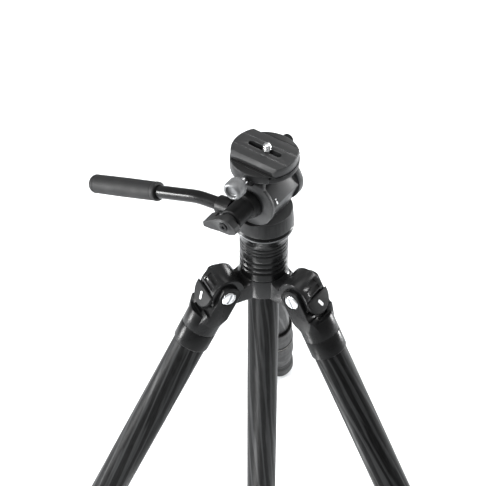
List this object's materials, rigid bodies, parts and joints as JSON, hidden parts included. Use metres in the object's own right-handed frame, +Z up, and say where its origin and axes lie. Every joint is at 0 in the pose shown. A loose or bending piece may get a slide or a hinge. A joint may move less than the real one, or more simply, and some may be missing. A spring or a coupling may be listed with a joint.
{
  "type": "camera tripod with fluid head",
  "caption": "Compact carbon tripod with legs retracted and spread, a grooved column collar and a small pan-and-tilt head with handle and round quick-release plate.",
  "frame": {"origin": "on the floor, on the axis of the centre column", "axes": "+Z up along the centre column; +Y towards the rear leg; the left and right legs stand 120 degrees either side of it, at -X -Y and +X -Y"},
  "size_m": [0.4284, 0.3751, 0.5077],
  "materials": {
    "carbon": "satin woven carbon-fibre tube",
    "casting": "dark grey anodised, satin",
    "black_metal": "black anodised, satin",
    "knob_metal": "grey anodised, satin",
    "chrome": "polished",
    "steel": "machined",
    "plastic": "moulded, fine texture",
    "rubber": "matt",
    "nylon": "natural acetal"
  },
  "bodies": {
    "spider": {"spider": "casting", "column_bush": "nylon"},
    "upper_leg_left": {"leg_casting_left": "casting", "pivot_pin_left": "chrome", "upper_tube_left": "carbon"},
    "middle_leg_left": {"middle_tube_left": "carbon", "middle_bush_left": "nylon"},
    "lower_leg_left": {"lower_tube_left": "carbon", "lower_bush_left": "nylon", "foot_left": "rubber"},
    "angle_tab_left": {"angle_tab_left": "black_metal"},
    "upper_lock_left": {"upper_lock_left": "rubber"},
    "lower_lock_left": {"lower_lock_left": "rubber"},
    "upper_leg_right": {"leg_casting_right": "casting", "pivot_pin_right": "chrome", "upper_tube_right": "carbon"},
    "middle_leg_right": {"middle_tube_right": "carbon", "middle_bush_right": "nylon"},
    "lower_leg_right": {"lower_tube_right": "carbon", "lower_bush_right": "nylon", "foot_right": "rubber"},
    "angle_tab_right": {"angle_tab_right": "black_metal"},
    "upper_lock_right": {"upper_lock_right": "rubber"},
    "lower_lock_right": {"lower_lock_right": "rubber"},
    "upper_leg_rear": {"leg_casting_rear": "casting", "pivot_pin_rear": "chrome", "upper_tube_rear": "carbon"},
    "middle_leg_rear": {"middle_tube_rear": "carbon", "middle_bush_rear": "nylon"},
    "lower_leg_rear": {"lower_tube_rear": "carbon", "lower_bush_rear": "nylon", "foot_rear": "rubber"},
    "angle_tab_rear": {"angle_tab_rear": "black_metal"},
    "upper_lock_rear": {"upper_lock_rear": "rubber"},
    "lower_lock_rear": {"lower_lock_rear": "rubber"},
    "column_lock": {"column_lock": "black_metal"},
    "column": {"centre_column": "carbon", "column_end_cap": "casting", "pan_base": "black_metal", "pan_retainer": "steel"},
    "weight_ring": {"weight_ring": "steel"},
    "pan": {"pan_body": "casting"},
    "pan_lock": {"pan_lock_knob": "plastic"},
    "tilt": {"tilt_platform": "casting", "tilt_axle": "steel", "tilt_cartridge": "steel", "wing_screw": "steel"},
    "tilt_lock": {"tilt_lock_knob": "plastic"},
    "jaw": {"clamp_jaw": "casting"},
    "clamp_knob": {"clamp_stud": "chrome", "clamp_knob": "knob_metal"},
    "plate": {"quick_plate": "casting"},
    "screw": {"camera_screw": "steel"},
    "release": {"release_button": "black_metal"},
    "handle": {"handle_boss": "plastic", "handle_tube": "black_metal", "handle_grip": "rubber"},
    "wing": {"handle_wing": "plastic"}
  },
  "joints": [
    {"name": "leg_spread_left", "type": "hinge", "parent": "spider", "child": "upper_leg_left", "pos_m": [-0.03306, -0.01909, 0.36926], "axis": [-0.5, 0.866, 0], "range_deg": [-26, 50]},
    {"name": "angle_tab_slide_left", "type": "slide", "parent": "upper_leg_left", "child": "angle_tab_left", "axis": [-0.4118, -0.2377, -0.8797], "range_m": [0, 0.004], "stiffness_N_per_m": 400, "springref_m": -0.002},
    {"name": "middle_section_slide_left", "type": "slide", "parent": "upper_leg_left", "child": "middle_leg_left", "axis": [-0.4118, -0.2377, -0.8797], "range_m": [0, 0.17]},
    {"name": "lower_section_slide_left", "type": "slide", "parent": "middle_leg_left", "child": "lower_leg_left", "axis": [-0.4118, -0.2377, -0.8797], "range_m": [0, 0.2]},
    {"name": "upper_lock_twist_left", "type": "hinge", "parent": "upper_leg_left", "child": "upper_lock_left", "pos_m": [-0.03306, -0.01909, 0.36926], "axis": [-0.4118, -0.2377, -0.8797], "range_deg": [0, 90]},
    {"name": "lower_lock_twist_left", "type": "hinge", "parent": "middle_leg_left", "child": "lower_lock_left", "pos_m": [-0.03306, -0.01909, 0.36926], "axis": [-0.4118, -0.2377, -0.8797], "range_deg": [0, 90]},
    {"name": "leg_spread_right", "type": "hinge", "parent": "spider", "child": "upper_leg_right", "pos_m": [0.03306, -0.01909, 0.36926], "axis": [-0.5, -0.866, 0], "range_deg": [-26, 50]},
    {"name": "angle_tab_slide_right", "type": "slide", "parent": "upper_leg_right", "child": "angle_tab_right", "axis": [0.4118, -0.2377, -0.8797], "range_m": [0, 0.004], "stiffness_N_per_m": 400, "springref_m": -0.002},
    {"name": "middle_section_slide_right", "type": "slide", "parent": "upper_leg_right", "child": "middle_leg_right", "axis": [0.4118, -0.2377, -0.8797], "range_m": [0, 0.17]},
    {"name": "lower_section_slide_right", "type": "slide", "parent": "middle_leg_right", "child": "lower_leg_right", "axis": [0.4118, -0.2377, -0.8797], "range_m": [0, 0.2]},
    {"name": "upper_lock_twist_right", "type": "hinge", "parent": "upper_leg_right", "child": "upper_lock_right", "pos_m": [0.03306, -0.01909, 0.36926], "axis": [0.4118, -0.2377, -0.8797], "range_deg": [0, 90]},
    {"name": "lower_lock_twist_right", "type": "hinge", "parent": "middle_leg_right", "child": "lower_lock_right", "pos_m": [0.03306, -0.01909, 0.36926], "axis": [0.4118, -0.2377, -0.8797], "range_deg": [0, 90]},
    {"name": "leg_spread_rear", "type": "hinge", "parent": "spider", "child": "upper_leg_rear", "pos_m": [0, 0.03817, 0.36926], "axis": [1, 0, 0], "range_deg": [-26, 50]},
    {"name": "angle_tab_slide_rear", "type": "slide", "parent": "upper_leg_rear", "child": "angle_tab_rear", "axis": [0, 0.4755, -0.8797], "range_m": [0, 0.004], "stiffness_N_per_m": 400, "springref_m": -0.002},
    {"name": "middle_section_slide_rear", "type": "slide", "parent": "upper_leg_rear", "child": "middle_leg_rear", "axis": [0, 0.4755, -0.8797], "range_m": [0, 0.17]},
    {"name": "lower_section_slide_rear", "type": "slide", "parent": "middle_leg_rear", "child": "lower_leg_rear", "axis": [0, 0.4755, -0.8797], "range_m": [0, 0.2]},
    {"name": "upper_lock_twist_rear", "type": "hinge", "parent": "upper_leg_rear", "child": "upper_lock_rear", "pos_m": [0, 0.03817, 0.36926], "axis": [0, 0.4755, -0.8797], "range_deg": [0, 90]},
    {"name": "lower_lock_twist_rear", "type": "hinge", "parent": "middle_leg_rear", "child": "lower_lock_rear", "pos_m": [0, 0.03817, 0.36926], "axis": [0, 0.4755, -0.8797], "range_deg": [0, 90]},
    {"name": "column_lock_twist", "type": "hinge", "parent": "spider", "child": "column_lock", "pos_m": [0, 0, 0.36266], "axis": [0, 0, 1], "range_deg": [0, 90]},
    {"name": "column_slide", "type": "slide", "parent": "spider", "child": "column", "axis": [0, 0, 1], "range_m": [0, 0.25]},
    {"name": "weight_ring_swing", "type": "hinge", "parent": "column", "child": "weight_ring", "pos_m": [0, 0, 0.04466], "axis": [0, 1, 0], "range_deg": [-80, 80]},
    {"name": "pan", "type": "hinge", "parent": "column", "child": "pan", "pos_m": [0, 0, 0.43266], "axis": [0, 0, 1], "continuous": true},
    {"name": "pan_lock_turn", "type": "hinge", "parent": "pan", "child": "pan_lock", "pos_m": [0, 0, 0.43516], "axis": [0, 1, 0], "range_deg": [0, 180]},
    {"name": "tilt", "type": "hinge", "parent": "pan", "child": "tilt", "pos_m": [0, 0, 0.46166], "axis": [0.5, 0.866, 0], "range_deg": [-35, 70]},
    {"name": "tilt_lock_turn", "type": "hinge", "parent": "tilt", "child": "tilt_lock", "pos_m": [0, 0, 0.46166], "axis": [0.5, 0.866, 0], "range_deg": [0, 180]},
    {"name": "handle_angle", "type": "hinge", "parent": "tilt", "child": "handle", "pos_m": [0, 0, 0.46166], "axis": [0.5, 0.866, 0], "range_deg": [0, 30]},
    {"name": "handle_wing_turn", "type": "hinge", "parent": "handle", "child": "wing", "pos_m": [0, 0, 0.46166], "axis": [-0.5, -0.866, 0], "range_deg": [-45, 90]},
    {"name": "clamp_knob_turn", "type": "hinge", "parent": "jaw", "child": "clamp_knob", "pos_m": [0, 0, 0.48986], "axis": [-0.5, -0.866, 0], "range_deg": [0, 900]},
    {"name": "jaw_slide", "type": "slide", "parent": "tilt", "child": "jaw", "axis": [-0.5, -0.866, 0], "range_m": [0, 0.0026]},
    {"name": "plate_slide", "type": "slide", "parent": "tilt", "child": "plate", "axis": [0.866, -0.5, 0], "range_m": [-0.02, 0.02]},
    {"name": "camera_screw_turn", "type": "hinge", "parent": "plate", "child": "screw", "pos_m": [0.00173, -0.001, 0.49566], "axis": [0, 0, 1], "continuous": true},
    {"name": "release_button_press", "type": "slide", "parent": "tilt", "child": "release", "axis": [-0.5, -0.866, 0], "range_m": [0, 0.002], "stiffness_N_per_m": 500, "springref_m": -0.001}
  ],
  "couplings": [
    {"joint": "jaw_slide", "follows": "clamp_knob_turn", "m_per_rad": 0.00015915}
  ]
}
